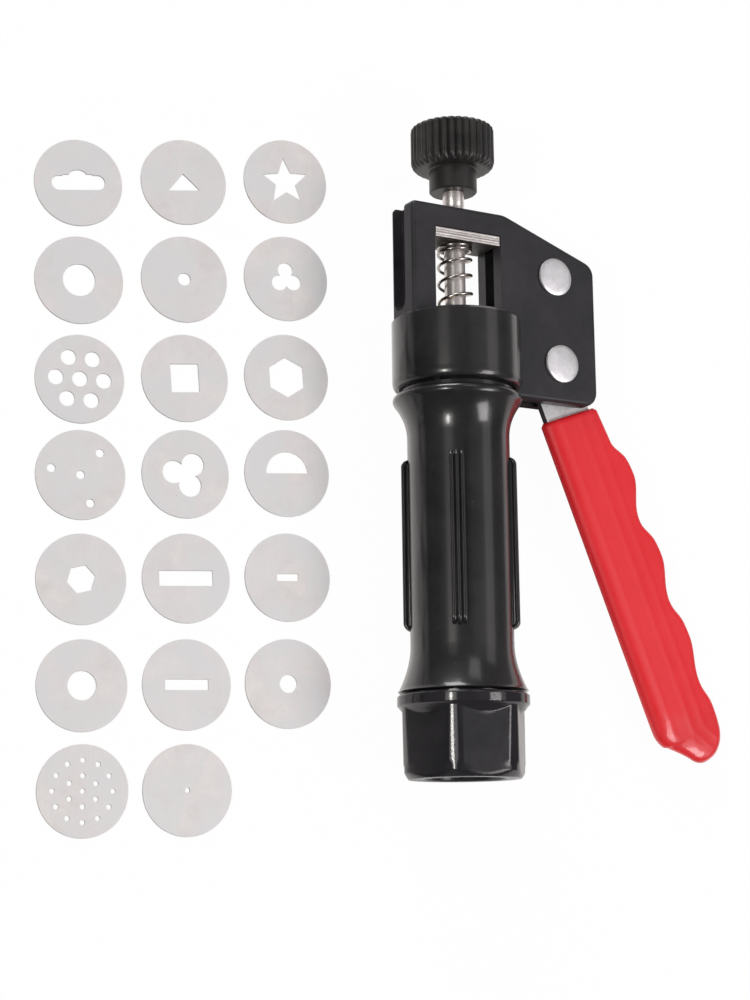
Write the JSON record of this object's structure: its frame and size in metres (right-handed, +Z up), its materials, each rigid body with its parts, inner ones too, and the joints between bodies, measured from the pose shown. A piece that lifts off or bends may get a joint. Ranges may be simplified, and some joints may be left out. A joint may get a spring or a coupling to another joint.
{
  "type": "clay extruder gun",
  "caption": "Squeeze-lever clay gun with a ribbed round barrel, a screw-on nozzle cap, a push rod with a fluted knob, and flat dies with shaped holes lying beside it.",
  "frame": {"origin": "centre of the nozzle mouth, in the plane of the cap's end face", "axes": "+Y along the barrel from the nozzle to the knob, +Z up from the bench that the tool and its dies lie on, +X to the lever's side"},
  "size_m": [0.2407, 0.2364, 0.0428],
  "materials": {
    "black_satin": "satin moulded",
    "black_gloss": "gloss moulded",
    "black_knob": "satin moulded",
    "brass": "turned",
    "spring_wire": "bright drawn wire",
    "bright_steel": "bright ground",
    "plate_steel": "stamped",
    "steel": "plated",
    "rivet": "satin",
    "nylon": "moulded",
    "seal": "matt",
    "red_dip": "dipped vinyl, gloss",
    "die_metal": "brushed"
  },
  "bodies": {
    "frame": {"head_frame": "black_satin", "barrel": "black_gloss", "rod_guide_bush": "brass", "return_spring": "spring_wire", "lever_rivet": "rivet", "pusher_rivet": "rivet", "lever_washers": "steel", "die_humped_slot": "die_metal", "die_triangle": "die_metal", "die_star": "die_metal", "die_round_10": "die_metal", "die_round_4": "die_metal", "die_small_trefoil": "die_metal", "die_seven_hole": "die_metal", "die_square": "die_metal", "die_large_hexagon": "die_metal", "die_four_hole": "die_metal", "die_large_trefoil": "die_metal", "die_half_round": "die_metal", "die_small_hexagon": "die_metal", "die_long_slot": "die_metal", "die_short_slot": "die_metal", "die_round_9": "die_metal", "die_narrow_slot": "die_metal", "die_round_6": "die_metal", "die_sieve": "die_metal", "die_pinhole": "die_metal"},
    "lever": {"lever_blade": "steel", "lever_grip": "red_dip"},
    "pusher": {"pusher": "steel"},
    "grip_plates": {"grip_plate_1": "plate_steel", "grip_plate_2": "plate_steel", "grip_plate_3": "plate_steel", "grip_plate_4": "plate_steel"},
    "plunger": {"push_rod": "bright_steel", "knob": "black_knob", "piston": "nylon", "piston_seal": "seal", "piston_nut": "steel"},
    "die": {"fitted_die": "die_metal"},
    "cap": {"nozzle_cap": "black_gloss"}
  },
  "joints": [
    {"name": "lever_squeeze", "type": "hinge", "parent": "frame", "child": "lever", "pos_m": [0.0368, 0.1391, -0.00668], "axis": [-0.1787, 0, -0.9839], "range_deg": [0, 15], "stiffness_Nm_per_rad": 0.6},
    {"name": "pusher_rock", "type": "hinge", "parent": "frame", "child": "pusher", "pos_m": [0.03493, 0.1691, -0.00634], "axis": [0.1787, 0, 0.9839], "range_deg": [0, 12.5]},
    {"name": "plates_slide", "type": "slide", "parent": "frame", "child": "grip_plates", "axis": [0, -1, 0], "range_m": [0, 0.0053], "deforming": ["return_spring"]},
    {"name": "rod_pull", "type": "slide", "parent": "grip_plates", "child": "plunger", "axis": [0, 1, 0], "range_m": [0, 0.112]},
    {"name": "die_travel", "type": "slide", "parent": "frame", "child": "die", "axis": [0, -1, 0], "range_m": [0, 0.0212]},
    {"name": "cap_turn", "type": "hinge", "parent": "die", "child": "cap", "pos_m": [0, 0, 0], "axis": [0, -1, 0], "range_deg": [0, 2160]}
  ],
  "couplings": [
    {"joint": "pusher_rock", "follows": "lever_squeeze", "ratio": 0.8},
    {"joint": "plates_slide", "follows": "lever_squeeze", "m_per_rad": 0.0196},
    {"joint": "die_travel", "follows": "cap_turn", "m_per_rad": 0.00055704}
  ]
}
